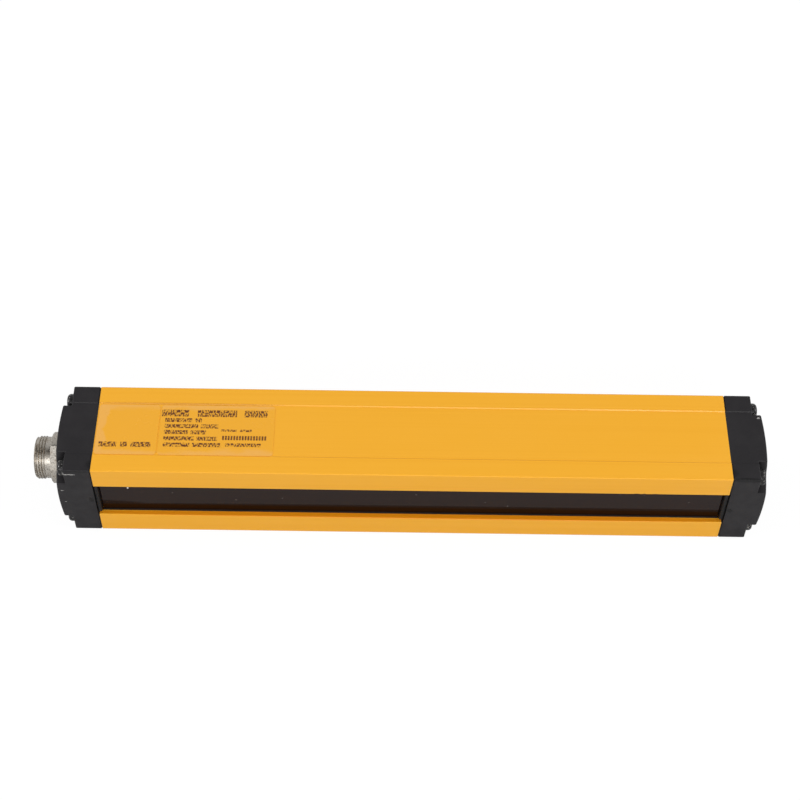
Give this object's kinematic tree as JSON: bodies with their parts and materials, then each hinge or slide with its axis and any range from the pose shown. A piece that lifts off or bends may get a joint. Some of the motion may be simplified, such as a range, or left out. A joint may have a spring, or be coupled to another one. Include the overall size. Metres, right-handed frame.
{
  "type": "safety light curtain",
  "caption": "Square yellow safety light curtain bar with dark window, black end caps, threaded connector and back T-slot.",
  "frame": {"origin": "bottom centre of the bounding box, receptacle included", "axes": "+X along the bar from the receptacle to the plain end, -Y out of the window, +Z out of the labelled side; the bar lies on its other broad side"},
  "size_m": [0.2691, 0.038, 0.038],
  "materials": {
    "yellow_coat": "satin powder coat on aluminium",
    "dark_window": "polished dark red-black filter",
    "cap_plastic": "fine moulded grain",
    "black_rubber": "matte",
    "black_steel": "black oxide, slightly glossy",
    "nickel_plate": "bright nickel, slightly warm",
    "spring_steel": "plain",
    "insulator_plastic": "smooth",
    "contact_brass": "plated",
    "carrier_plastic": "smooth",
    "clear_lens": "polished acrylic",
    "smoky_epoxy": "tinted clear epoxy",
    "board_laminate": "solder mask",
    "header_plastic": "smooth",
    "chip_epoxy": "fine grain",
    "capacitor_can": "satin",
    "lead_insulation": "smooth",
    "label_film": "clear film over the yellow"
  },
  "bodies": {
    "root": {"beam_driver_1": "chip_epoxy", "beam_driver_2": "chip_epoxy", "blind_end_cap": "cap_plastic", "blind_end_gasket": "black_rubber", "blind_end_screw_1": "black_steel", "blind_end_screw_2": "black_steel", "blind_end_screw_3": "black_steel", "blind_end_screw_4": "black_steel", "board_header": "header_plastic", "capacitor": "capacitor_can", "connector_end_cap": "cap_plastic", "connector_end_gasket": "black_rubber", "connector_end_screw_1": "black_steel", "connector_end_screw_2": "black_steel", "connector_end_screw_3": "black_steel", "connector_end_screw_4": "black_steel", "contact_pin_1": "contact_brass", "contact_pin_2": "contact_brass", "contact_pin_3": "contact_brass", "contact_pin_4": "contact_brass", "data_label": "label_film", "emitter_1": "smoky_epoxy", "emitter_2": "smoky_epoxy", "emitter_3": "smoky_epoxy", "emitter_4": "smoky_epoxy", "emitter_5": "smoky_epoxy", "emitter_6": "smoky_epoxy", "emitter_7": "smoky_epoxy", "emitter_8": "smoky_epoxy", "emitter_board": "board_laminate", "housing_profile": "yellow_coat", "lead_wire_1": "lead_insulation", "lead_wire_2": "lead_insulation", "lead_wire_3": "lead_insulation", "lead_wire_4": "lead_insulation", "lens_1": "clear_lens", "lens_2": "clear_lens", "lens_3": "clear_lens", "lens_4": "clear_lens", "lens_5": "clear_lens", "lens_6": "clear_lens", "lens_7": "clear_lens", "lens_8": "clear_lens", "lens_carrier": "carrier_plastic", "microcontroller": "chip_epoxy", "receptacle_insulator": "insulator_plastic", "receptacle_lock_washer": "spring_steel", "receptacle_nut": "nickel_plate", "receptacle_shell": "nickel_plate", "receptacle_washer_seal": "black_rubber", "small_label": "label_film", "window_pane": "dark_window", "window_seal_lower": "black_rubber", "window_seal_upper": "black_rubber"}
  },
  "joints": []
}
